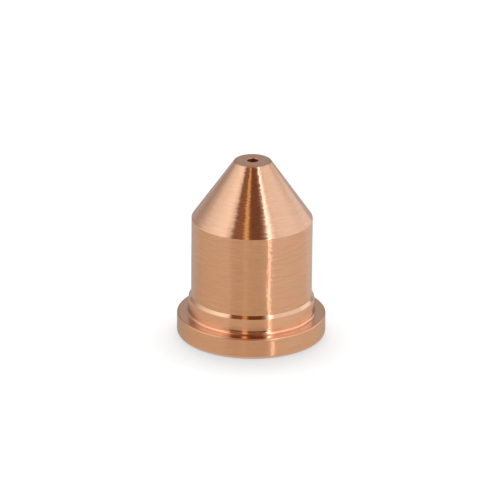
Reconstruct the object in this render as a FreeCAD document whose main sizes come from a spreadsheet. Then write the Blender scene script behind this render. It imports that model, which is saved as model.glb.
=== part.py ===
import FreeCAD, Part
import math
import os
import Sketcher

# Plasma torch nozzle, turned and bored from one bar of copper.
# It stands on its rear face at Z = 0 with the tip up, and its axis is Z. Sizes are in millimetres.

NODE = "nozzle"

# Driving dimensions: alias, value, what it measures
DIMENSIONS = [
    ("nozzle_height", 23.0, "rear face to tip face"),
    ("flange_dia", 18.65, "rim that the retaining cap clamps"),
    ("flange_height", 2.75, "thickness of the flange"),
    ("collar_dia", 15.75, "pilot collar that centres the nozzle in its cap"),
    ("collar_top", 4.78, "height where the collar ends and its bevel starts"),
    ("bevel_top", 5.16, "height where the bevel meets the body"),
    ("body_dia", 15.15, "straight body above the bevel"),
    ("cone_half_angle", 34.7, "slope of the cone against the axis, in degrees"),
    ("tip_dia", 4.56, "flat face at the tip"),
    ("orifice_dia", 1.4, "hole that the arc leaves through"),
    ("seat_dia", 13.0, "counterbore that takes the swirl ring"),
    ("seat_depth", 3.0, "depth of that counterbore"),
    ("plenum_dia", 11.0, "chamber around the electrode"),
    ("cone_wall", 2.4, "wall left between the inner and the outer cone"),
    ("throat_dia", 3.4, "small end of the inner cone"),
    ("drill_half_angle", 60.0, "lead from the throat into the orifice, in degrees"),
    ("rim_front_round", 0.2, "rounded front edge of the flange"),
    ("rim_rear_round", 0.45, "rounded rear edge of the flange"),
    ("collar_root_round", 0.3, "fillet between the collar and the flange"),
    ("shoulder_round", 0.1, "edge between the body and the cone"),
    ("tip_round", 0.4, "edge round the tip face"),
    ("mouth_chamfer", 0.4, "lead-in at the mouth of the counterbore"),
    ("plenum_lead_chamfer", 0.3, "lead-in from the counterbore to the plenum"),
    ("throat_blend", 0.5, "blend between the inner cone and the orifice lead"),
]

# How close an edge has to lie to the ring that is looked for
RING_TOLERANCE = 1e-4

doc = FreeCAD.newDocument("plasma_torch_nozzle")

# Spreadsheet with the driving dimensions
dims = doc.addObject("Spreadsheet::Sheet", "dims")
for row, (alias, value, note) in enumerate(DIMENSIONS, start=1):
    dims.set(f"A{row}", alias)
    dims.set(f"B{row}", str(value))
    dims.setAlias(f"B{row}", alias)
    dims.set(f"C{row}", note)
doc.recompute()

# Radii and heights that the sketches share, each as an expression on the sheet
FLANGE_R = "dims.flange_dia / 2"
COLLAR_R = "dims.collar_dia / 2"
BODY_R = "dims.body_dia / 2"
TIP_R = "dims.tip_dia / 2"
SEAT_R = "dims.seat_dia / 2"
PLENUM_R = "dims.plenum_dia / 2"
THROAT_R = "dims.throat_dia / 2"
ORIFICE_R = "dims.orifice_dia / 2"
SHOULDER_Z = f"dims.nozzle_height - ({BODY_R} - {TIP_R}) / tan(dims.cone_half_angle)"

# The inner cone runs parallel to the outer one, cone_wall away from it
INNER_SHIFT = "dims.cone_wall / cos(dims.cone_half_angle)"
PLENUM_Z = f"{SHOULDER_Z} + ({BODY_R} - {INNER_SHIFT} - {PLENUM_R}) / tan(dims.cone_half_angle)"
THROAT_Z = f"{SHOULDER_Z} + ({BODY_R} - {INNER_SHIFT} - {THROAT_R}) / tan(dims.cone_half_angle)"
DRILL_POINT_Z = f"{THROAT_Z} + {THROAT_R} / tan(dims.drill_half_angle)"


def size_of(expression):
    """The number that an expression on the sheet comes to, in millimetres."""
    return float(dims.evalExpression(expression))


# Body
body = doc.addObject("PartDesign::Body", NODE)
body.Label = NODE


def origin_plane(role):
    """The body's own origin plane with that role."""
    for feature in body.Origin.OriginFeatures:
        if feature.Role == role:
            return feature
    raise ValueError(f"the body has no {role}")


def new_sketch(name, role):
    """An empty sketch on one of the body's origin planes."""
    sketch = body.newObject("Sketcher::SketchObject", name)
    sketch.AttachmentSupport = (origin_plane(role), [""])
    sketch.MapMode = "FlatFace"
    return sketch


def section_sketch(name, corners):
    """A closed half section on the XZ plane.

    corners are (corner name, radius expression, height expression), in order. The radius "0" is the axis.
    A side whose ends share a radius is vertical and one whose ends share a height is horizontal,
    so each size is stated once.
    """
    sketch = new_sketch(name, "XZ_Plane")
    points = [FreeCAD.Vector(size_of(r), size_of(z), 0) for _, r, z in corners]
    count = len(corners)
    for i in range(count):
        sketch.addGeometry(Part.LineSegment(points[i], points[(i + 1) % count]), False)
    for i in range(count):
        sketch.addConstraint(Sketcher.Constraint("Coincident", i, 2, (i + 1) % count, 1))
    radius_stated = set()
    height_stated = set()
    for i, (corner, radius, height) in enumerate(corners):
        _, next_radius, next_height = corners[(i + 1) % count]
        if radius == "0":
            sketch.addConstraint(Sketcher.Constraint("PointOnObject", i, 1, -2))
        elif radius not in radius_stated:
            state_size(sketch, "DistanceX", i, f"{corner}_radius", radius)
            radius_stated.add(radius)
        if height == "0" and height not in height_stated:
            sketch.addConstraint(Sketcher.Constraint("PointOnObject", i, 1, -1))
            height_stated.add(height)
        elif height not in height_stated:
            state_size(sketch, "DistanceY", i, f"{corner}_height", height)
            height_stated.add(height)
        if radius == next_radius and radius != "0":
            sketch.addConstraint(Sketcher.Constraint("Vertical", i))
        if height == next_height:
            sketch.addConstraint(Sketcher.Constraint("Horizontal", i))
    return sketch


def state_size(sketch, kind, line, name, expression):
    """A named distance from the origin to a line's first point, bound to the sheet."""
    index = sketch.addConstraint(Sketcher.Constraint(kind, -1, 1, line, 1, size_of(expression)))
    sketch.renameConstraint(index, name)
    sketch.setExpression(f"Constraints.{name}", expression)


def turn(kind, name, sketch):
    """A full revolution or groove of a half section about the Z axis."""
    feature = body.newObject(kind, name)
    feature.Profile = sketch
    feature.ReferenceAxis = (sketch, ["V_Axis"])
    feature.Angle = 360.0
    doc.recompute()
    return feature


def ring_edge(feature, radius, height):
    """The name of a feature's circular edge of that radius at that height."""
    for number, edge in enumerate(feature.Shape.Edges, start=1):
        if not isinstance(edge.Curve, Part.Circle):
            continue
        same_radius = abs(edge.Curve.Radius - size_of(radius)) < RING_TOLERANCE
        same_height = abs(edge.Curve.Center.z - size_of(height)) < RING_TOLERANCE
        if same_radius and same_height:
            return f"Edge{number}"
    raise ValueError(f"{feature.Name} has no ring of radius {radius} at {height}")


def dress(kind, name, base, radius, height, alias):
    """A fillet or chamfer on one ring of the turned piece."""
    feature = body.newObject(kind, name)
    feature.Base = (base, [ring_edge(base, radius, height)])
    size = "Radius" if kind == "PartDesign::Fillet" else "Size"
    feature.setExpression(size, f"dims.{alias}")
    doc.recompute()
    return feature


# Outside, turned from bar: flange, collar, bevel, body, cone and tip
outline = section_sketch(
    "outline",
    [
        ("rear_centre", "0", "0"),
        ("rim_rear", FLANGE_R, "0"),
        ("rim_front", FLANGE_R, "dims.flange_height"),
        ("collar_root", COLLAR_R, "dims.flange_height"),
        ("collar_edge", COLLAR_R, "dims.collar_top"),
        ("bevel_edge", BODY_R, "dims.bevel_top"),
        ("shoulder", BODY_R, SHOULDER_Z),
        ("tip_edge", TIP_R, "dims.nozzle_height"),
        ("tip_centre", "0", "dims.nozzle_height"),
    ],
)
turned_outside = turn("PartDesign::Revolution", "turned_outside", outline)
solid_volume = turned_outside.Shape.Volume

# Counterbore for the swirl ring, opened from the rear face
seat_section = section_sketch(
    "seat_section",
    [
        ("seat_mouth_centre", "0", "0"),
        ("seat_mouth", SEAT_R, "0"),
        ("seat_corner", SEAT_R, "dims.seat_depth"),
        ("seat_centre", "0", "dims.seat_depth"),
    ],
)
swirl_ring_seat = turn("PartDesign::Groove", "swirl_ring_seat", seat_section)

# Plenum: straight bore, cone parallel to the outside, and the drill point that leads to the orifice
plenum_section = section_sketch(
    "plenum_section",
    [
        ("plenum_mouth_centre", "0", "dims.seat_depth"),
        ("plenum_mouth", PLENUM_R, "dims.seat_depth"),
        ("plenum_end", PLENUM_R, PLENUM_Z),
        ("throat", THROAT_R, THROAT_Z),
        ("drill_point", "0", DRILL_POINT_Z),
    ],
)
plenum = turn("PartDesign::Groove", "plenum", plenum_section)

# Orifice, drilled from the rear plane up through the tip
orifice_sketch = new_sketch("orifice_sketch", "XY_Plane")
orifice_circle = Part.Circle(FreeCAD.Vector(0, 0, 0), FreeCAD.Vector(0, 0, 1), size_of(ORIFICE_R))
orifice_sketch.addGeometry(orifice_circle, False)
orifice_sketch.addConstraint(Sketcher.Constraint("Coincident", 0, 3, -1, 1))
radius_index = orifice_sketch.addConstraint(Sketcher.Constraint("Radius", 0, size_of(ORIFICE_R)))
orifice_sketch.renameConstraint(radius_index, "orifice_radius")
orifice_sketch.setExpression("Constraints.orifice_radius", ORIFICE_R)
volume_before_orifice = plenum.Shape.Volume
orifice = body.newObject("PartDesign::Pocket", "orifice")
orifice.Profile = orifice_sketch
orifice.Type = "ThroughAll"
orifice.Reversed = True
doc.recompute()
volume_after_orifice = orifice.Shape.Volume
if volume_after_orifice >= volume_before_orifice:
    raise ValueError("the orifice cut nothing")

# Edges, each where the lathe tool leaves it
rim_front = dress(
    "PartDesign::Fillet", "rim_front_round", orifice, FLANGE_R, "dims.flange_height", "rim_front_round"
)
rim_rear = dress("PartDesign::Fillet", "rim_rear_round", rim_front, FLANGE_R, "0", "rim_rear_round")
collar_root = dress(
    "PartDesign::Fillet", "collar_root_round", rim_rear, COLLAR_R, "dims.flange_height", "collar_root_round"
)
shoulder = dress("PartDesign::Fillet", "shoulder_round", collar_root, BODY_R, SHOULDER_Z, "shoulder_round")
tip_edge = dress("PartDesign::Fillet", "tip_round", shoulder, TIP_R, "dims.nozzle_height", "tip_round")
mouth = dress("PartDesign::Chamfer", "mouth_chamfer", tip_edge, SEAT_R, "0", "mouth_chamfer")
plenum_lead = dress(
    "PartDesign::Chamfer", "plenum_lead_chamfer", mouth, PLENUM_R, "dims.seat_depth", "plenum_lead_chamfer"
)
throat = dress("PartDesign::Fillet", "throat_blend", plenum_lead, THROAT_R, THROAT_Z, "throat_blend")
body.Tip = throat
doc.recompute()

# Checks before anything is written
for item in doc.Objects:
    if "Invalid" in item.State or "Error" in item.State:
        raise ValueError(f"{item.Name} failed: {item.State}")
nozzle = body.Shape
if nozzle.isNull() or not nozzle.isValid():
    raise ValueError("the nozzle is not a valid shape")
if len(nozzle.Solids) != 1:
    raise ValueError("the nozzle is not one solid")
if not 0 < nozzle.Volume < solid_volume:
    raise ValueError("the bores removed nothing")

# Output
os.makedirs("parts", exist_ok=True)
nozzle.exportStep(f"parts/{NODE}.step")
box = nozzle.optimalBoundingBox(True, False)
print(f"{NODE}: {box.XLength:.3f} x {box.YLength:.3f} x {box.ZLength:.3f} mm")
print(f"volume {nozzle.Volume:.1f} mm3, {len(nozzle.Faces)} faces")
print(f"cone from {size_of(SHOULDER_Z):.3f} to {size_of('dims.nozzle_height'):.3f} mm")
print(f"plenum to {size_of(PLENUM_Z):.3f}, throat at {size_of(THROAT_Z):.3f} mm")
lead_rise = (size_of(THROAT_R) - size_of(ORIFICE_R)) / math.tan(math.radians(dims.drill_half_angle))
print(f"orifice starts at {size_of(THROAT_Z) + lead_rise:.3f} mm")
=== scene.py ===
# %% [markdown]
# # A plasma torch nozzle in turned copper
# The nozzle is the replaceable front end of a plasma cutting torch. It is turned from one copper bar, so
# all of its shape is one outline spun about one axis, and all of its look is what the lathe tool leaves:
# fine rings, a satin body, a brighter cone and crisp little edges. The lesson spins that outline, gives
# each face its own finish, and lights it the way a product photographer lights metal, by choosing what it
# reflects.

# %% Load the frame
import math

import bpy
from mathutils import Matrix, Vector


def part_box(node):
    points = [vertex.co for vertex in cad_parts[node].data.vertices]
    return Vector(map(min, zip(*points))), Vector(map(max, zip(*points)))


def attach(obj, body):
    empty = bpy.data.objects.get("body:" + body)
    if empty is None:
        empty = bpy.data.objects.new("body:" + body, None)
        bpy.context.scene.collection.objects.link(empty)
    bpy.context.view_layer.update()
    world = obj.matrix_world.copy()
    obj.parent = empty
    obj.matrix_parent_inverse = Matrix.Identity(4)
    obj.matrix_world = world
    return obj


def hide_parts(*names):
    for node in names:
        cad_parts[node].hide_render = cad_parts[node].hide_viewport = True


MM = 0.001
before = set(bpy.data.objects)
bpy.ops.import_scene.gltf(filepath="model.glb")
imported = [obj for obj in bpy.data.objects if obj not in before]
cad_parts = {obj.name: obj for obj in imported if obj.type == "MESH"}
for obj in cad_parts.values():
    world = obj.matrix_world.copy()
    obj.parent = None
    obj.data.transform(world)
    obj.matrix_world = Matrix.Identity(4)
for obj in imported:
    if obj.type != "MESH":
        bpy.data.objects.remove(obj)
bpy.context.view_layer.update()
lowest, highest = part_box("nozzle")
print("nodes in the frame:", sorted(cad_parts))
print("size of the nozzle in mm:", [round((b - a) / MM, 2) for a, b in zip(lowest, highest)])

# %% [markdown]
# ## The camera
# Small shiny parts are photographed from far away with a long lens, so that the near and far edges stay
# nearly the same size. A wide lens close by would also work, but it makes the flange swell and the tip
# shrink. Here the camera stands 750 mm away, looks down at the nozzle by about 22 degrees, and has a lens
# so long that the nozzle takes up two fifths of the picture's height. It is rolled by half a degree,
# because the nozzle leans that much in the picture, and shifted by a quarter of a millimetre to the left
# and down, which puts the nozzle at its place in the frame.

# %% Place the camera
LENS_MM = 432.0
SENSOR_MM = 36.0
CLIP_START, CLIP_END = 0.01, 50.0
CAMERA_DISTANCE = 750.0 * MM
CAMERA_ELEVATION = math.radians(22.08)
CAMERA_ROLL = math.radians(0.54)
AIM = Vector((0.0, 0.0, 11.25)) * MM
SIDE_STEP = Vector((-0.232, -0.275, 0.0)) * MM


def camera_at(distance, elevation, roll, aim, side_step):
    """A long-lens camera in front of the nozzle, turned to a point on its axis, then shifted by side_step
    in its own picture plane."""
    data = bpy.data.cameras.new("product_camera")
    data.lens = LENS_MM
    data.sensor_width = SENSOR_MM
    data.clip_start = CLIP_START
    data.clip_end = CLIP_END
    camera = bpy.data.objects.new("product_camera", data)
    bpy.context.scene.collection.objects.link(camera)
    back = Vector((0.0, -math.cos(elevation), math.sin(elevation)))
    turn = (-back).to_track_quat("-Z", "Y").to_matrix()
    camera.rotation_mode = "QUATERNION"
    camera.rotation_quaternion = (turn @ turn.Rotation(roll, 3, "Z")).to_quaternion()
    camera.location = aim + back * distance + turn @ side_step
    return camera


bpy.context.scene.camera = camera_at(CAMERA_DISTANCE, CAMERA_ELEVATION, CAMERA_ROLL, AIM, SIDE_STEP)
print("camera at, in mm:", [round(c / MM, 1) for c in bpy.context.scene.camera.location])

# %% [markdown]
# ## The outline
# A turned part is fully described by half of its section. It could be built from cylinders and cones joined
# with booleans, or by a Screw modifier on a curve. One list of corners is easier to read and to change:
# each corner has a radius, a height and the size of the round that the tool leaves there, and names the
# face that follows it. A point with no round lies on a straight stretch and only starts a new face. The
# list runs from the mouth of the orifice down the outside, and back up through the bores.

# %% Corners of the half section
HEIGHT = round(highest[2] / MM, 3)
FLANGE_R, FLANGE_Z = round(highest[0] / MM, 3), 2.75
COLLAR_R, COLLAR_Z, FOOT_Z = 7.875, 4.78, 3.4
BODY_R, BEVEL_Z = 7.575, 5.16
TIP_R = 2.28
ORIFICE_R = 0.7
SEAT_R, SEAT_Z = 6.5, 3.0
PLENUM_R = 5.5
THROAT_R = 1.7
CONE_ANGLE = math.radians(34.7)
CONE_WALL = 2.4
DRILL_ANGLE = math.radians(60.0)
MOUTH_CHAMFER, LEAD_CHAMFER = 0.4, 0.3
MOUTH_R = SEAT_R + MOUTH_CHAMFER
CRISP = 0.04
TIP_ROUND, SHOULDER_ROUND, ROOT_ROUND = 0.4, 0.1, 0.3
RIM_FRONT_ROUND, RIM_REAR_ROUND = 0.2, 0.45
PLENUM_ROUND, THROAT_ROUND = 0.3, 0.5


def cone_height(radius):
    """Height at which the outer cone, carried on past its ends, has that radius."""
    return HEIGHT - (radius - TIP_R) / math.tan(CONE_ANGLE)


def inner_height(radius):
    """The same for the inner cone, which keeps an even wall."""
    return cone_height(radius + CONE_WALL / math.cos(CONE_ANGLE))


THROAT_Z = inner_height(THROAT_R)
ORIFICE_Z = THROAT_Z + (THROAT_R - ORIFICE_R) / math.tan(DRILL_ANGLE)
CORNERS = [
    # radius, height, round, face that follows
    (ORIFICE_R, HEIGHT, CRISP, "tip"),
    (TIP_R, HEIGHT, TIP_ROUND, "cone"),
    (BODY_R, cone_height(BODY_R), SHOULDER_ROUND, "body"),
    (BODY_R, BEVEL_Z, CRISP, "bevel"),
    (COLLAR_R, COLLAR_Z, CRISP, "collar"),
    (COLLAR_R, FOOT_Z, 0.0, "foot"),
    (COLLAR_R, FLANGE_Z, ROOT_ROUND, "flange_front"),
    (FLANGE_R, FLANGE_Z, RIM_FRONT_ROUND, "rim"),
    (FLANGE_R, 0.0, RIM_REAR_ROUND, "rear"),
    (MOUTH_R, 0.0, CRISP, "mouth"),
    (SEAT_R, MOUTH_CHAMFER, CRISP, "seat_wall"),
    (SEAT_R, SEAT_Z, CRISP, "seat_floor"),
    (PLENUM_R + LEAD_CHAMFER, SEAT_Z, CRISP, "lead"),
    (PLENUM_R, SEAT_Z + LEAD_CHAMFER, CRISP, "plenum"),
    (PLENUM_R, inner_height(PLENUM_R), PLENUM_ROUND, "inner_cone"),
    (THROAT_R, THROAT_Z, THROAT_ROUND, "drill_lead"),
    (ORIFICE_R, ORIFICE_Z, CRISP, "orifice"),
]
print("orifice length in mm:", round(HEIGHT - ORIFICE_Z, 2))

# %% [markdown]
# ## Rounding the corners
# No tool leaves a perfect corner, and it is the small rounds that catch the light. A Bevel modifier could
# make them, but it gives every corner the same width. Here each corner is replaced by points on an arc that
# touches both of its neighbours, and each point keeps the direction that the surface faces there. Two
# rounds get faces of their own, the fillet at the collar's foot and the edge of the flange, because they
# were finished apart.

# %% Round the corners
ROUND_FACE = {"flange_front": "fillet", "rim": "edge"}
ROUND_STEPS = 8
LONGEST_STEP = 0.5


def round_points(here, arrive, leave, size, steps):
    """Points on the arc that rounds a corner, each with the direction that it faces. arrive and leave are the
    directions of the outline before and after the corner. A corner of size 0 gives a single point."""
    turn = arrive.angle_signed(leave)
    hand = math.copysign(1, turn)
    reach = size * math.tan(abs(turn) / 2)
    side = Vector((arrive.y, -arrive.x)) * hand
    centre = here - arrive * reach + side * size
    points = []
    for step in range(steps + 1):
        swing = -turn * step / steps
        c, s = math.cos(swing), math.sin(swing)
        spoke = Vector((-side.x * c + side.y * s, -side.x * s - side.y * c))
        points.append((centre + spoke * size, spoke * hand))
    return points if size else points[-1:]


def straight_points(start, corners, places, i, longest):
    """Points between the end of corner i's round and the start of the next one's."""
    count = len(corners)
    after = (i + 1) % count
    along = (places[after] - places[i]).normalized()
    onward = (places[(i + 2) % count] - places[after]).normalized()
    reach = corners[after][2] * math.tan(abs(along.angle_signed(onward)) / 2)
    begin = Vector(start[:2])
    end = places[after] - along * reach
    pieces = max(1, math.ceil((end - begin).length / longest))
    return [(*(begin + (end - begin) * k / pieces), start[2], start[3]) for k in range(1, pieces)]


def rounded_outline(corners, steps, longest):
    """Points of the closed outline as (radius, height, outward normal, face), in millimetres. A round belongs
    to the face that follows it, or to the one that ROUND_FACE gives."""
    points = []
    places = [Vector((c[0], c[1])) for c in corners]
    for i, (_, _, size, face) in enumerate(corners):
        here = places[i]
        arrive = (here - places[i - 1]).normalized()
        leave = (places[(i + 1) % len(corners)] - here).normalized()
        *arc, (place, normal) = round_points(here, arrive, leave, size, steps)
        points += [(*spot, facing, ROUND_FACE.get(face, face)) for spot, facing in arc]
        points.append((*place, normal, face))
        points += straight_points(points[-1], corners, places, i, longest)
    return points


outline = rounded_outline(CORNERS, ROUND_STEPS, LONGEST_STEP)
print(len(outline), "points in the outline, from", len(CORNERS), "corners")

# %% [markdown]
# ## Spinning the outline
# The outline is copied round the axis many times and neighbouring copies are joined by quads. Metal shows
# every facet in its reflections, so there are several hundred copies, and each vertex gets the exact normal
# of the turned surface in place of the average of its faces.

# %% Spin it into a mesh
SPOKES = 384


def spin(name, points, spokes):
    """A closed mesh from an outline, with exact normals, and the face name of each of its quads."""
    mesh = bpy.data.meshes.new(name)
    rows = len(points)
    vertices = []
    normals = []
    for spoke in range(spokes):
        angle = 2 * math.pi * spoke / spokes
        c, s = math.cos(angle), math.sin(angle)
        for radius, height, normal, _ in points:
            vertices.append((radius * c * MM, radius * s * MM, height * MM))
            normals.append((normal.x * c, normal.x * s, normal.y))
    faces = []
    owners = []
    for spoke in range(spokes):
        here, there = spoke * rows, (spoke + 1) % spokes * rows
        for row in range(rows):
            below = (row + 1) % rows
            faces.append((here + row, here + below, there + below, there + row))
            owners.append(points[row][3])
    mesh.from_pydata(vertices, [], faces)
    mesh.polygons.foreach_set("use_smooth", [True] * len(faces))
    mesh.normals_split_custom_set_from_vertices(normals)
    mesh.update()
    return mesh, owners


nozzle_mesh, face_owners = spin("nozzle_turned", outline, SPOKES)
nozzle = bpy.data.objects.new("nozzle_turned", nozzle_mesh)
bpy.context.scene.collection.objects.link(nozzle)
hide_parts("nozzle")
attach(nozzle, "root")
print(len(nozzle_mesh.polygons), "quads in the nozzle")

# %% [markdown]
# ## Tools for the materials
# A few short helpers keep the node code readable: one adds a node and fills in its inputs, some do sums,
# and two make an empty material and a node group with named inputs and outputs.

# %% Node helpers
FLOAT = "NodeSocketFloat"
COLOUR = "NodeSocketColor"
VECTOR = "NodeSocketVector"


def add_node(tree, kind, inputs=None, **settings):
    """Adds a node, sets its properties, then fills inputs with values or links."""
    node = tree.nodes.new(kind)
    for key, value in settings.items():
        setattr(node, key, value)
    for key, value in (inputs or {}).items():
        if isinstance(value, bpy.types.NodeSocket):
            tree.links.new(value, node.inputs[key])
        else:
            node.inputs[key].default_value = value
    return node


def calculate(tree, operation, first, second=0.0):
    """A Math node's result."""
    return add_node(tree, "ShaderNodeMath", {0: first, 1: second}, operation=operation).outputs[0]


def vector_maths(tree, operation, first, second):
    """A Vector Math node; second is a vector, or the factor where the vector is scaled."""
    key = "Scale" if operation == "SCALE" else 1
    return add_node(tree, "ShaderNodeVectorMath", {0: first, key: second}, operation=operation).outputs[0]


def length_of(tree, vector):
    """A vector's length."""
    return add_node(tree, "ShaderNodeVectorMath", {0: vector}, operation="LENGTH").outputs["Value"]


def unit_of(tree, vector):
    """The same direction at length 1."""
    return add_node(tree, "ShaderNodeVectorMath", {0: vector}, operation="NORMALIZE").outputs[0]


def new_material(name):
    """A material with an empty node tree, and that tree."""
    material = bpy.data.materials.new(name)
    material.use_nodes = True
    material.node_tree.nodes.clear()
    return material, material.node_tree


def new_group(name, inputs, outputs):
    """An empty shader node group; inputs and outputs are lists of (name, socket type, value)."""
    group = bpy.data.node_groups.new(name, "ShaderNodeTree")
    for label, kind, value in inputs:
        group.interface.new_socket(label, in_out="INPUT", socket_type=kind).default_value = value
    for label, kind in outputs:
        group.interface.new_socket(label, in_out="OUTPUT", socket_type=kind)
    return group, group.nodes.new("NodeGroupInput"), group.nodes.new("NodeGroupOutput")


print("node helpers ready")

# %% [markdown]
# ## Turning marks
# A lathe tool leaves a fine spiral, which reads as rings round the axis. The rings follow one coordinate
# that grows along the outline and is the same all the way round: height minus distance from the axis does
# that on the body, on the cone and on the flat faces alike. Noise read mostly along that coordinate, and
# only slowly round the axis, gives rings that wander, fade and return as real ones do. An image texture
# could hold rings too, but it would need a good unwrap and more pixels than the whole picture has.
#
# The group gives three things: broad rings, fine ones, and a normal that swerves a little to the side from
# one groove to the next. That swerve is what makes a lamp's reflection run down the metal as a slightly
# wavy line. A Bump node can't do it, because its slope to the side is too slow beside its slope across the
# rings.

# %% Turning marks as a node group
UP_AXIS = (0.0, 0.0, 1.0)
FINE_RATE, SWERVE_RATE = 4.0, 0.85
RING_DETAIL, FINE_DETAIL, SWERVE_DETAIL = 3.0, 2.0, 1.0
NOISE_ROUGHNESS = 0.6


def noise_round(group, round_axis, streaks, along, detail):
    """Noise that runs fast along the outline and slowly round the axis."""
    slow = vector_maths(group, "SCALE", round_axis, streaks)
    parts = add_node(group, "ShaderNodeSeparateXYZ", {0: slow})
    spot = add_node(group, "ShaderNodeCombineXYZ", {0: parts.outputs[0], 1: parts.outputs[1], 2: along})
    noise = add_node(
        group,
        "ShaderNodeTexNoise",
        {"Vector": spot.outputs[0], "Scale": 1.0, "Detail": detail, "Roughness": NOISE_ROUGHNESS},
    )
    return noise.outputs["Fac"]


def swerved_normal(group, round_axis, swing):
    """The surface's normal, pushed to one side round the axis by swing."""
    around = vector_maths(group, "CROSS_PRODUCT", UP_AXIS, round_axis)
    push = add_node(
        group,
        "ShaderNodeVectorTransform",
        {0: vector_maths(group, "SCALE", around, swing)},
        convert_from="OBJECT",
        convert_to="WORLD",
    )
    straight = add_node(group, "ShaderNodeNewGeometry").outputs["Normal"]
    return unit_of(group, vector_maths(group, "ADD", straight, push.outputs[0]))


def turning_marks_group():
    """Rings round the Z axis. Pitch is in millimetres, Streaks and Lobes say how often the rings and their
    swerve change round the axis, and Swerve how far a groove turns the normal to one side, in radians."""
    group, given, result = new_group(
        "turning_marks",
        [("Pitch", FLOAT, 0.25), ("Streaks", FLOAT, 3.0), ("Lobes", FLOAT, 3.0), ("Swerve", FLOAT, 0.05)],
        [("Rings", FLOAT), ("Fine", FLOAT), ("Normal", VECTOR)],
    )
    place = add_node(group, "ShaderNodeTexCoord").outputs["Object"]
    x, y, z = add_node(group, "ShaderNodeSeparateXYZ", {0: place}).outputs
    flat = add_node(group, "ShaderNodeCombineXYZ", {0: x, 1: y, 2: 0.0}).outputs[0]
    round_axis = unit_of(group, flat)
    across_mm = calculate(group, "DIVIDE", calculate(group, "SUBTRACT", z, length_of(group, flat)), MM)
    rings_at = calculate(group, "DIVIDE", across_mm, given.outputs["Pitch"])
    fine_at = calculate(group, "MULTIPLY", rings_at, FINE_RATE)
    sway_at = calculate(group, "MULTIPLY", rings_at, SWERVE_RATE)
    rings = noise_round(group, round_axis, given.outputs["Streaks"], rings_at, RING_DETAIL)
    fine = noise_round(group, round_axis, given.outputs["Streaks"], fine_at, FINE_DETAIL)
    sway = noise_round(group, round_axis, given.outputs["Lobes"], sway_at, SWERVE_DETAIL)
    swing = calculate(group, "MULTIPLY", calculate(group, "SUBTRACT", sway, 0.5), given.outputs["Swerve"])
    group.links.new(rings, result.inputs["Rings"])
    group.links.new(fine, result.inputs["Fine"])
    group.links.new(swerved_normal(group, round_axis, swing), result.inputs["Normal"])
    return group


TURNING_MARKS = turning_marks_group()
print("group:", TURNING_MARKS.name)

# %% [markdown]
# ## The copper's tone
# Fresh copper is never one colour: it drifts between pinker and yellower where it was handled. A slow noise
# mixes two close tones in patches of a few millimetres, and the rings darken and lighten the mix a little,
# so that they also show where the light is even. Two colours far apart would look painted.

# %% Copper tone as a node group
PATCHES_PER_METRE = 260.0
PATCH_DETAIL = 3.0


def copper_tone_group():
    """Slow drift between two close copper colours, with the rings faintly in it."""
    group, given, result = new_group(
        "copper_tone",
        [
            ("Pink", COLOUR, (0.81, 0.475, 0.335, 1.0)),
            ("Yellow", COLOUR, (0.77, 0.49, 0.295, 1.0)),
            ("Rings", FLOAT, 0.5),
            ("Ring Tone", FLOAT, 0.1),
        ],
        [("Colour", COLOUR)],
    )
    place = add_node(group, "ShaderNodeTexCoord").outputs["Object"]
    patches = add_node(
        group, "ShaderNodeTexNoise", {"Vector": place, "Scale": PATCHES_PER_METRE, "Detail": PATCH_DETAIL}
    )
    mixed = add_node(
        group,
        "ShaderNodeMix",
        {"Factor": patches.outputs["Fac"], "A": given.outputs["Pink"], "B": given.outputs["Yellow"]},
        data_type="RGBA",
    )
    swing = calculate(group, "SUBTRACT", given.outputs["Rings"], 0.5)
    swing = calculate(group, "MULTIPLY", swing, given.outputs["Ring Tone"])
    level = calculate(group, "ADD", swing, 1.0)
    group.links.new(vector_maths(group, "SCALE", mixed.outputs["Result"], level), result.inputs["Colour"])
    return group


COPPER_TONE = copper_tone_group()
print("group:", COPPER_TONE.name)

# %% [markdown]
# ## Streaks and rings in the surface
# Every finish needs two things from the marks. The fine rings vary the roughness, so the edges of the
# reflections end in short streaks. The broad rings give a faint bump, a few micrometres high. The mesh
# itself could be displaced by them, but they are much finer than its quads.

# %% Roughness and bump
NOISE_LOW, NOISE_HIGH = 0.25, 0.75
UM = 1e-6


def streaky_roughness(tree, fine, roughness, wander):
    """The roughness, which the fine rings vary up and down by the share wander."""
    varied = add_node(
        tree,
        "ShaderNodeMapRange",
        {
            "Value": fine,
            "From Min": NOISE_LOW,
            "From Max": NOISE_HIGH,
            "To Min": roughness * (1 - wander),
            "To Max": roughness * (1 + wander),
        },
    )
    return varied.outputs["Result"]


def ring_bump(tree, rings, normal, depth_um):
    """The normal, with the broad rings raised on it, depth_um micrometres high."""
    bump = add_node(
        tree,
        "ShaderNodeBump",
        {"Height": rings, "Distance": depth_um * UM, "Strength": 1.0, "Normal": normal},
    )
    return bump.outputs["Normal"]


print("roughness and bump ready")

# %% [markdown]
# ## The recipe of a finish
# It is one metal with several finishes, so all of them are one recipe with different numbers. The grooves
# spread light across them and hardly along them. Real grooves would need a mesh of millions of faces, so
# the shader does it instead: it is anisotropic, with its direction running round the axis. That spread is
# why a lamp shows as a long line down the body, and why the floor's white reaches far up it. Copper also
# turns paler or darker where it is seen at a slant, which the tint at grazing angles sets for each finish.

# %% A finish
QUARTER_TURN = 0.25


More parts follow.
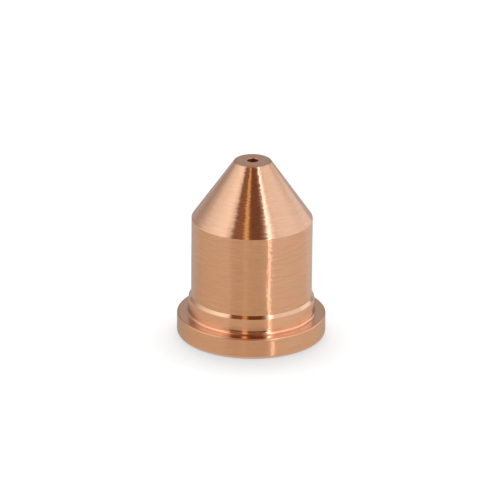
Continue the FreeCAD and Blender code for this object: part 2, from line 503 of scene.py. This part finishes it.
def turned_finish(
    name,
    pink,
    yellow,
    roughness,
    edge,
    swerve=0.02,
    depth_um=3.0,
    ring_tone=0.08,
    wander=0.15,
    grain=1.0,
    pitch=0.25,
):
    """A copper finish. pink and yellow are its two tones and edge the tint at grazing angles. swerve is how
    far the grooves turn aside, depth_um the rings' depth in micrometres, ring_tone how much they show in the
    tone, wander how far the roughness varies, grain the anisotropy and pitch the rings' spacing in
    millimetres."""
    material, tree = new_material(name)
    marks = add_node(tree, "ShaderNodeGroup", node_tree=TURNING_MARKS)
    marks.inputs["Pitch"].default_value = pitch
    marks.inputs["Swerve"].default_value = swerve
    tone = add_node(tree, "ShaderNodeGroup", node_tree=COPPER_TONE)
    tone.inputs["Pink"].default_value = (*pink, 1.0)
    tone.inputs["Yellow"].default_value = (*yellow, 1.0)
    tone.inputs["Ring Tone"].default_value = ring_tone
    tree.links.new(marks.outputs["Rings"], tone.inputs["Rings"])
    tangent = add_node(tree, "ShaderNodeTangent", direction_type="RADIAL", axis="Z")
    shader = add_node(
        tree,
        "ShaderNodeBsdfPrincipled",
        {
            "Base Color": tone.outputs["Colour"],
            "Metallic": 1.0,
            "Roughness": streaky_roughness(tree, marks.outputs["Fine"], roughness, wander),
            "Anisotropic": grain,
            "Anisotropic Rotation": QUARTER_TURN,
            "Specular Tint": (*edge, 1.0),
            "Normal": ring_bump(tree, marks.outputs["Rings"], marks.outputs["Normal"], depth_um),
            "Tangent": tangent.outputs["Tangent"],
        },
    )
    add_node(tree, "ShaderNodeOutputMaterial", {"Surface": shader.outputs[0]})
    return material


PALE_EDGE = (0.72, 0.82, 0.93)
PLAIN_EDGE = (0.72, 0.75, 0.82)
DIM_EDGE = (0.62, 0.67, 0.75)
print("recipe ready")

# %% [markdown]
# ## Body and rim: satin
# The straight faces were turned with an ordinary feed and are satin. They show the floor and hardly
# anything else, so they look even, with one wavy lamp line. The rim is the same cut with steadier grooves.

# %% Satin body and rim
BODY_TONES = {"pink": (0.81, 0.475, 0.335), "yellow": (0.77, 0.49, 0.295)}
satin = turned_finish(
    "satin_turned",
    **BODY_TONES,
    roughness=0.22,
    edge=PALE_EDGE,
    swerve=0.11,
    depth_um=8.0,
    ring_tone=0.25,
    wander=0.28,
)
rim = turned_finish(
    "turned_rim",
    **BODY_TONES,
    roughness=0.21,
    edge=PALE_EDGE,
    swerve=0.04,
    depth_um=8.0,
    ring_tone=0.25,
    wander=0.25,
)
print("finishes:", satin.name, rim.name)

# %% [markdown]
# ## Cone: bright
# The cone shines more than the body, but mostly because of where it faces: it looks up at the lights and at
# the dark gap round the camera, and shows both. Its finish is close to the body's. A smoother one would
# mirror the gap with edges that are too clean.

# %% Bright cone
bright = turned_finish(
    "bright_cone",
    pink=(0.805, 0.48, 0.335),
    yellow=(0.785, 0.485, 0.31),
    roughness=0.24,
    edge=DIM_EDGE,
    swerve=0.1,
    depth_um=6.0,
    ring_tone=0.28,
    wander=0.21,
)
print("finish:", bright.name)

# %% [markdown]
# ## Collar and bevel: fine
# The collar is the fit that centres the retaining cap, so it is cut cleanly, and the bevel that leads onto
# it is the smoothest face of all. The bevel is narrow but faces up, so it mirrors the gap as a short dark
# dash. The rear face, which seals against the torch, has the same finish.
#
# The tool stopped at the foot of the collar before it was drawn out, and burnished a narrow band there. It
# spreads light less than the rest, so it mirrors the flange beside it, with the gap's dark dash once more.
# That band could be a change of roughness by height, but as a face of its own it needs no extra nodes.

# %% Fine collar, bevel and rear face
COLLAR_TONES = {"pink": (0.85, 0.53, 0.365), "yellow": (0.83, 0.53, 0.34)}
collar = turned_finish(
    "collar_turned",
    **COLLAR_TONES,
    roughness=0.21,
    edge=PLAIN_EDGE,
    swerve=0.03,
    depth_um=6.0,
    ring_tone=0.15,
)
foot = turned_finish(
    "burnished_foot",
    **COLLAR_TONES,
    roughness=0.15,
    edge=PLAIN_EDGE,
    swerve=0.03,
    ring_tone=0.15,
    grain=0.6,
)
fine = turned_finish(
    "fine_bevel",
    pink=(0.81, 0.495, 0.345),
    yellow=(0.79, 0.495, 0.32),
    roughness=0.15,
    edge=DIM_EDGE,
    depth_um=5.0,
    ring_tone=0.1,
)
print("finishes:", collar.name, foot.name, fine.name)

# %% [markdown]
# ## Tip and flange: faced
# Flat ends are faced, with the tool moving towards the axis, which leaves closer and shallower rings. The
# tip gets a paler, greyer tone than the body, and the front of the flange a brighter orange one, the
# brightest on the part. The flange's front and the collar mirror each other, so light that comes out from
# between them has been tinted twice.

# %% Faced tip and flange
faced = turned_finish(
    "faced_tip",
    pink=(0.92, 0.59, 0.435),
    yellow=(0.90, 0.59, 0.405),
    roughness=0.15,
    edge=DIM_EDGE,
)
flange_front_finish = turned_finish(
    "faced_flange",
    pink=(0.95, 0.555, 0.39),
    yellow=(0.93, 0.555, 0.36),
    roughness=0.15,
    edge=PALE_EDGE,
)
print("finishes:", faced.name, flange_front_finish.name)

# %% [markdown]
# ## Fillet and broken edge
# The tool's nose leaves a small fillet at the foot of the collar, which shows as a thin light line all the
# way round. The flange's front edge is broken by hand with a file or paper, so it is rougher and its grain
# is weak.

# %% Fillet and broken edge
fillet = turned_finish(
    "root_fillet",
    pink=(0.90, 0.50, 0.33),
    yellow=(0.88, 0.50, 0.31),
    roughness=0.2,
    edge=DIM_EDGE,
    grain=0.8,
)
broken = turned_finish(
    "broken_edge",
    pink=(0.78, 0.43, 0.29),
    yellow=(0.76, 0.43, 0.27),
    roughness=0.34,
    edge=DIM_EDGE,
    depth_um=6.0,
    ring_tone=0.2,
    grain=0.5,
)
print("finishes:", fillet.name, broken.name)

# %% [markdown]
# ## Bores: dull
# The inside is drilled and bored, with coarser rings and a duller surface. The orifice is only seen as a
# small dark red hole, because light that reaches its wall has bounced off copper many times. A few bounces
# are all that a render follows, so its wall is painted a darker, deeper red: painted shade for the bounces
# that the render leaves out.

# %% Bores and orifice
bored = turned_finish(
    "bored_inside",
    pink=(0.78, 0.43, 0.29),
    yellow=(0.75, 0.43, 0.27),
    roughness=0.36,
    edge=DIM_EDGE,
    swerve=0.0,
    depth_um=2.0,
    grain=0.6,
    pitch=0.3,
)
# The orifice wall's darker, deeper red is painted shade, not the copper's own colour.
painted_shade_orifice = turned_finish(
    "orifice_wall_painted_shade",
    pink=(0.58, 0.15, 0.08),
    yellow=(0.55, 0.15, 0.07),
    roughness=0.45,
    edge=DIM_EDGE,
    swerve=0.0,
    depth_um=2.0,
    grain=0.4,
    pitch=0.3,
)
print("finishes:", bored.name, painted_shade_orifice.name)

# %% [markdown]
# ## Dressing the faces
# Every quad knows which face of the outline it came from, so giving out the finishes is one look-up. Faces
# that the list doesn't name are inside, and get the dull bore.

# %% Give each face its finish
FINISH_OF = {
    "tip": faced,
    "cone": bright,
    "body": satin,
    "bevel": fine,
    "collar": collar,
    "foot": foot,
    "fillet": fillet,
    "flange_front": flange_front_finish,
    "edge": broken,
    "rim": rim,
    "rear": fine,
    "orifice": painted_shade_orifice,
}
finishes = [satin, rim, bright, collar, foot, fine, faced, fillet, flange_front_finish, broken, painted_shade_orifice, bored]
for finish in finishes:
    nozzle_mesh.materials.append(finish)
slots = [finishes.index(FINISH_OF.get(owner, bored)) for owner in face_owners]
nozzle_mesh.polygons.foreach_set("material_index", slots)
print({finish.name: slots.count(i) for i, finish in enumerate(finishes)})

# %% [markdown]
# ## Floor
# The nozzle stands on a plain pale floor that the camera, and the metal, see as white. The floor is lit
# like any other surface, so it keeps the soft shadow round the foot. For the camera and for reflections,
# about two thirds of it is replaced by plain white light, which lifts that shadow to the faint one in the
# picture.
#
# That light is a little weaker close to the nozzle, which paints a shadow over the cast one. An Ambient
# Occlusion node measures how close, and it looks along a normal that leans away from the camera, so the
# painted shadow is darkest in front of the nozzle and fades behind it. On the floor inside the nozzle's mouth
# there is no white light at all, so that the chamber stays dark when one looks down the orifice. The floor
# lies a hair below the rear face, because two faces in one plane would flicker.

# %% Build the floor
FLOOR_MM, FLOOR_Z = 4000.0, -0.01
FLOOR_TONE = 0.9
WHITE_SHARE = 0.65
SHADOW_MM = 8.0
SHADOW_LEAN = (0.0, 0.85, 0.53)
HALF_OPEN, ALL_OPEN = 0.5, 1.0
SHADOW_LEVEL, OPEN_LEVEL = 0.82, 1.2
AO_SAMPLES = 16


def stage_mesh(name, vertices, faces, material):
    """A stage object from points in millimetres."""
    mesh = bpy.data.meshes.new(name)
    mesh.from_pydata([Vector(v) * MM for v in vertices], [], faces)
    mesh.materials.append(material)
    piece = bpy.data.objects.new(name, mesh)
    bpy.context.scene.collection.objects.link(piece)
    return piece


def floor_material():
    """Pale and matt, and partly white light for camera, glossy and transmission rays. Near the nozzle that
    white light is dimmed, which paints a shadow.
    """
    material, tree = new_material("pale_floor")
    path = add_node(tree, "ShaderNodeLightPath")
    seen = calculate(tree, "MAXIMUM", path.outputs["Is Camera Ray"], path.outputs["Is Glossy Ray"])
    seen = calculate(tree, "MAXIMUM", seen, path.outputs["Is Transmission Ray"])
    place = add_node(tree, "ShaderNodeTexCoord").outputs["Object"]
    outside = calculate(tree, "GREATER_THAN", length_of(tree, place), MOUTH_R * MM)
    share = calculate(tree, "MULTIPLY", calculate(tree, "MULTIPLY", seen, outside), WHITE_SHARE)
    matt = add_node(tree, "ShaderNodeBsdfDiffuse", {"Color": (FLOOR_TONE, FLOOR_TONE, FLOOR_TONE, 1.0)})
    lean = add_node(tree, "ShaderNodeCombineXYZ", dict(enumerate(SHADOW_LEAN)))
    near = add_node(
        tree,
        "ShaderNodeAmbientOcclusion",
        {"Distance": SHADOW_MM * MM, "Normal": lean.outputs[0]},
        samples=AO_SAMPLES,
    )
    # The white light's strength falls where the nozzle is near: this is a painted shadow.
    level = add_node(
        tree,
        "ShaderNodeMapRange",
        {
            "Value": near.outputs["AO"],
            "From Min": HALF_OPEN,
            "From Max": ALL_OPEN,
            "To Min": SHADOW_LEVEL,
            "To Max": OPEN_LEVEL,
        },
    )
    white = add_node(tree, "ShaderNodeEmission", {"Strength": level.outputs[0]})
    mixed = add_node(tree, "ShaderNodeMixShader", {0: share, 1: matt.outputs[0], 2: white.outputs[0]})
    add_node(tree, "ShaderNodeOutputMaterial", {"Surface": mixed.outputs[0]})
    return material


stage_mesh(
    "floor",
    [(x * FLOOR_MM, y * FLOOR_MM, FLOOR_Z) for x, y in ((-1, -1), (1, -1), (1, 1), (-1, 1))],
    [(0, 1, 2, 3)],
    floor_material(),
)
print("floor:", FLOOR_MM * 2 * MM, "m square")

# %% [markdown]
# ## What the metal reflects
# Polished metal has no look of its own, it shows its surroundings. The picture's nozzle stands in a bright
# surround with a dark gap in front, round the camera, and one narrow lamp beside the gap. The same is built
# here from curved cards round the nozzle, each given by the directions that it covers. Area lamps could
# stand in for some of them, but not for the dark ones, and they have hard edges. The camera doesn't see the
# cards, and they cast no light on the floor: only the reflections show them.
#
# Two ways to name a direction are needed. A card at the side or back is level with the horizon, so it is
# given by its azimuth and elevation. A strip that the nozzle shows as an upright line goes up in front of
# it and over the top, like an arch, and leans to one side of it.

# %% Directions round the nozzle


def direction(azimuth, elevation):
    """Unit vector; azimuth 0 is towards the camera and grows to the right, in degrees."""
    a, e = math.radians(azimuth), math.radians(elevation)
    return Vector((math.sin(a) * math.cos(e), -math.cos(a) * math.cos(e), math.sin(e)))


def arch(side, climb):
    """Unit vector; climb goes up in front and over the top, and side leans away from it, in degrees."""
    a, e = math.radians(side), math.radians(climb)
    return Vector((math.sin(a), -math.cos(a) * math.cos(e), math.cos(a) * math.sin(e)))


def smooth(x):
    """Zero to one with soft ends."""
    x = min(max(x, 0.0), 1.0)
    return x * x * (3 - 2 * x)


print("straight ahead:", tuple(direction(0, 0)), "overhead:", tuple(round(c, 3) for c in arch(0, 90)))

# %% [markdown]
# ## Glowing cards
# A card is a curved grid. How strongly it glows, and how much it covers what is behind it, are painted on
# its points, so it can fade out towards its edges. A real card does that when it is out of focus or bent.
# Where it covers nothing it is transparent.

# %% A glowing grid
ACROSS, UP = 96, 24


def card_material(name, colour):
    """Glowing card: its strength and how much it covers are painted on its points."""
    material, tree = new_material(name)
    strength = add_node(tree, "ShaderNodeAttribute", attribute_name="strength").outputs["Fac"]
    cover = add_node(tree, "ShaderNodeAttribute", attribute_name="cover").outputs["Fac"]
    glow = add_node(tree, "ShaderNodeEmission", {"Color": (*colour, 1.0), "Strength": strength})
    clear = add_node(tree, "ShaderNodeBsdfTransparent")
    mixed = add_node(tree, "ShaderNodeMixShader", {0: cover, 1: clear.outputs[0], 2: glow.outputs[0]})
    add_node(tree, "ShaderNodeOutputMaterial", {"Surface": mixed.outputs[0]})
    return material


def grid_card(name, place, glow, colour):
    """A card from a grid; place and glow give each grid point's position, and its cover and strength."""
    spots = [(i / ACROSS, j / UP) for j in range(UP + 1) for i in range(ACROSS + 1)]
    row = ACROSS + 1
    faces = [
        (j * row + i, j * row + i + 1, (j + 1) * row + i + 1, (j + 1) * row + i)
        for j in range(UP)
        for i in range(ACROSS)
    ]
    piece = stage_mesh(name, [place(u, v) for u, v in spots], faces, card_material(name, colour))
    paint = [glow(u, v) for u, v in spots]
    for k, label in enumerate(("cover", "strength")):
        layer = piece.data.attributes.new(label, "FLOAT", "POINT")
        layer.data.foreach_set("value", [spot[k] for spot in paint])
    piece.visible_camera = False
    piece.visible_diffuse = False
    piece.visible_shadow = False
    return piece


print("a card has", ACROSS * UP, "quads")

# %% [markdown]
# ## Cards by their directions
# Most cards are bands of directions, so one function makes them from a few angles: how far up they reach,
# and where their left and right edges lie at the lower and at the upper end. It also works out the fading.
# Placing and bending each card by hand would do as well, but then no number would say what it covers. A
# card nearer to the nozzle hides one farther away, so the distances, in millimetres, are the order in which
# the cards cover each other.

# %% Cards
GLOW_AT = 65.0
LAMP_AT, GOLD_AT, CEILING_AT, EMBER_AT, GAP_AT = 840.0, 860.0, 870.0, 875.0, 880.0
SHADE_AT, BAND_AT, FLANK_AT, PANEL_AT, BACK_AT = 885.0, 890.0, 895.0, 900.0, 910.0


def card(name, aim, colour, distance, ups, low, high=None, strengths=(1.0, 1.0), ends=(0.0, 0.0)):
    """A curved card round the centre of the rear face. aim turns its two angles into a direction, and ups is
    the range of the second one. low and high give, at its lower and upper end, its left and right edge and
    how softly each of them fades, in degrees; high is the same as low unless it is given. ends fades the
    lower and upper end, and strengths is the glow there."""
    high = high or low
    span = ups[1] - ups[0]

    def between(k, v):
        return low[k] + (high[k] - low[k]) * v

    def place(u, v):
        return aim(between(0, v) + (between(1, v) - between(0, v)) * u, ups[0] + span * v) * distance

    def glow(u, v):
        width = between(1, v) - between(0, v)
        cover = 1.0
        for away, soft in (
            (u * width, between(2, v)),
            ((1 - u) * width, between(3, v)),
            (v * span, ends[0]),
            ((1 - v) * span, ends[1]),
        ):
            cover *= smooth(away / soft) if soft > 0 else 1.0
        return cover, strengths[0] + (strengths[1] - strengths[0]) * v

    return grid_card(name, place, glow, colour)


print("cards stand between", LAMP_AT, "and", BACK_AT, "mm away, and one at", GLOW_AT)

# %% [markdown]
# ## The gap round the camera
# In front of the nozzle the surround is open, because the camera looks in there, and the dark room shows.
# The cone and the bevel mirror that gap as their dark bands. It is made of a lower and an upper card,
# because it narrows as it goes up. Left of it a browner card stands behind, and makes the gap's left edge
# warm and soft.

# %% Gap cards
GAP_BROWN = (0.15, 0.048, 0.02)
GAP_HIGH = (0.175, 0.06, 0.022)
FLANK_AMBER = (0.32, 0.13, 0.035)
MEET = 34
gap = [
    card(
        "gap_below",
        arch,
        GAP_BROWN,
        GAP_AT,
        ups=(1, MEET),
        low=(-41, 31.5, 3, 2),
        high=(-38, 28, 6, 5),
    ),
    card(
        "gap_above",
        arch,
        GAP_HIGH,
        GAP_AT,
        ups=(MEET, 105),
        low=(-39.3, 28, 7, 6),
        high=(-24, 21, 12, 23),
        ends=(0, 30),
    ),
    card("gap_flank", arch, FLANK_AMBER, FLANK_AT, ups=(32, 56), low=(-49.5, -25, 12, 0), ends=(3, 8)),
]
print("gap:", [piece.name for piece in gap])

# %% [markdown]
# ## The gold strip
# Inside the gap, left of its middle, a strip of something golden catches the light and runs down the cone
# as a thin amber line. A faint ember glow lies beside it and keeps that side of the gap from being flat.
# Both are nearer than the gap's own cards, so they cover them.

# %% Gold strip and ember
EMBER = (0.42, 0.17, 0.06)
GOLD_LOW, GOLD_HIGH = (1.0, 1.0, 0.6), (1.0, 0.64, 0.26)
gold = [
    card("ember", arch, EMBER, EMBER_AT, ups=(32, 56), low=(-30, -2, 8, 3), ends=(3, 6)),
    card(
        "gold_below",
        arch,
        GOLD_LOW,
        GOLD_AT,
        ups=(1, MEET),
        low=(-17.5, -6.3, 1, 1),
        high=(-13.5, -5.5, 1, 1),
        ends=(14, 0),
    ),
    card(
        "gold_above",
        arch,
        GOLD_HIGH,
        GOLD_AT,
        ups=(MEET, 57),
        low=(-16.0, -5.6, 3, 2),
        high=(-13.5, -5.2, 3, 2),
        strengths=(1.65, 1.45),
        ends=(0, 11),
    ),
]
print("gold:", [piece.name for piece in gold])

# %% [markdown]
# ## The lamp
# One narrow, bright lamp stands just right of the gap. It makes the white line that runs down the cone, the
# body, the collar and the rim. The line is bright on the body although the body faces the floor, because
# the grooves spread the reflection far up and down, and only a strong lamp is still seen through that
# spread. The cone faces the lamp's upper part, so that part is weaker, and gets stronger again only above
# what the cone sees, for the steeper bevel. A faint pink shade behind the lamp tones down the white to the
# right of its line.

# %% Lamp cards
LAMP_WHITE = (1.0, 0.9, 0.95)
SHADE_PINK = (0.9, 0.78, 0.79)
lamp = [
    card("lamp_shade", arch, SHADE_PINK, SHADE_AT, ups=(30, 58), low=(24, 50, 1, 12), ends=(3, 4)),
    card(
        "lamp_below",
        arch,
        LAMP_WHITE,
        LAMP_AT,
        ups=(0.5, MEET),
        low=(29.9, 35.6, 2, 2),
        high=(27.3, 32.0, 2, 2),
        strengths=(22.0, 9.0),
    ),
    card(
        "lamp_above",
        arch,
        LAMP_WHITE,
        LAMP_AT,
        ups=(MEET, 76),
        low=(26.7, 29.6, 2, 2),
        high=(22.0, 28.6, 2, 2),
        strengths=(1.9, 5.0),
    ),
]
print("lamp:", [piece.name for piece in lamp])

# %% [markdown]
# ## The sides and the back
# A tall white panel fills the left, and a low white band the right, which fades into the grey back of the
# room. Turned metal shows the sides in its middle and the back at its edges, so the greyer back is what
# darkens the cone's outline. A small card close to the nozzle lights the flange from the right. The cone is
# higher, so for it that card lies near the horizon, where it hardly shows.

# %% Side and back cards
LEFT_WHITE, RIGHT_WHITE = (1.0, 1.01, 1.0), (1.0, 1.03, 1.06)
NEAR_WHITE = (1.0, 1.04, 1.08)
BACK_GREY, FADE_GREY = (0.46, 0.435, 0.425), (0.62, 0.58, 0.55)
sides = [
    card(
        "left_panel",
        direction,
        LEFT_WHITE,
        PANEL_AT,
        ups=(2, 76),
        low=(-108, -34, 34, 0),
        strengths=(0.95, 1.6),
        ends=(0, 6),
    ),
    card(
        "grey_back",
        direction,
        BACK_GREY,
        BACK_AT,
        ups=(0.5, 40),
        low=(127, 264, 8, 42),
        high=(121, 264, 24, 42),
        ends=(0, 10),
    ),
    card(
        "right_band",
        direction,
        RIGHT_WHITE,
        BAND_AT,
        ups=(1, 30),
        low=(34, 134, 0, 5),
        strengths=(1.13, 1.13),
        ends=(0, 6),
    ),
    card("right_fade", direction, FADE_GREY, SHADE_AT, ups=(10, 30), low=(84, 134, 45, 5), ends=(6, 6)),
    card(
        "right_glow",
        direction,
        NEAR_WHITE,
        GLOW_AT,
        ups=(12, 31),
        low=(94, 147, 8, 6),
        strengths=(1.18, 1.25),
        ends=(3, 3),
    ),
]
print("sides:", [piece.name for piece in sides])

# %% [markdown]
# ## The ceiling
# Seen from the camera, the tip and the flange's front mirror what is high up behind the nozzle. In the
# picture they are much darker than the cone, so a brown card hangs there. Darker copper on those two faces
# would also match from this side, but not from the others.

# %% Ceiling card
CEILING_BROWN = (0.42, 0.26, 0.17)
ceiling = card(
    "brown_ceiling",
    arch,
    CEILING_BROWN,
    CEILING_AT,
    ups=(96, 152),
    low=(-22, 22, 12, 12),
    high=(-38, 38, 12, 12),
    ends=(12, 8),
)
print("ceiling:", ceiling.name)

# %% [markdown]
# ## The warm paper
# The straight faces look down at the floor near the nozzle, and in the picture they are warmer and darker
# there than a white floor would make them. A ring of warm paper round the foot gives them that tone. It is
# thinner on the right and at the back, where the picture's metal is paler, and the camera sees the white
# floor through it.

# %% Paper ring
RING_INNER_MM, RING_OUTER_MM, RING_Z = 9.6, 250.0, 0.05
PAPER_TONE = (0.67, 0.545, 0.42)
RIM_FADE = 0.3
RIGHT_STARTS, BACK_STARTS, TURN_FADE = 15, 100, 30
RIGHT_THINNER, BACK_THINNER_RIGHT, BACK_THINNER_LEFT = 0.16, 0.3, 0.2


def ring_place(u, v):
    """A spot of the paper ring; v runs outward and u from behind the nozzle round by its left side."""
    radius = RING_INNER_MM * (RING_OUTER_MM / RING_INNER_MM) ** v
    return direction(360 * u - 180, 0) * radius + Vector((0.0, 0.0, RING_Z))


def ring_glow(u, v):
    """Thinner on the right, thinner still towards the back, and faded out at the rim."""
    azimuth = 360 * u - 180
    right = RIGHT_THINNER * smooth((azimuth - RIGHT_STARTS) / TURN_FADE)
    back_thinner = BACK_THINNER_RIGHT if azimuth > 0 else BACK_THINNER_LEFT
    back = back_thinner * smooth((abs(azimuth) - BACK_STARTS) / TURN_FADE)
    return smooth((1 - v) / RIM_FADE) * (1 - right - back), 1.0


paper = grid_card("warm_paper", ring_place, ring_glow, PAPER_TONE)
print("ring:", paper.name, "out to", RING_OUTER_MM, "mm")

# %% [markdown]
# ## Plain light
# The world is an even white surround at a strength of 1, the level at which a colour renders about as it is
# written. Lamps could light the part as well, but their small hot spots would sparkle on the metal.

# %% World and view
WHITE = (1.0, 1.0, 1.0, 1.0)


def white_world():
    """An even white surround."""
    world = bpy.data.worlds.new("white_surround")
    world.use_nodes = True
    background = world.node_tree.nodes["Background"]
    background.inputs["Color"].default_value = WHITE
    background.inputs["Strength"].default_value = 1.0
    return world


bpy.context.scene.world = white_world()
bpy.context.scene.view_settings.view_transform = "Standard"
print("view transform:", bpy.context.scene.view_settings.view_transform)
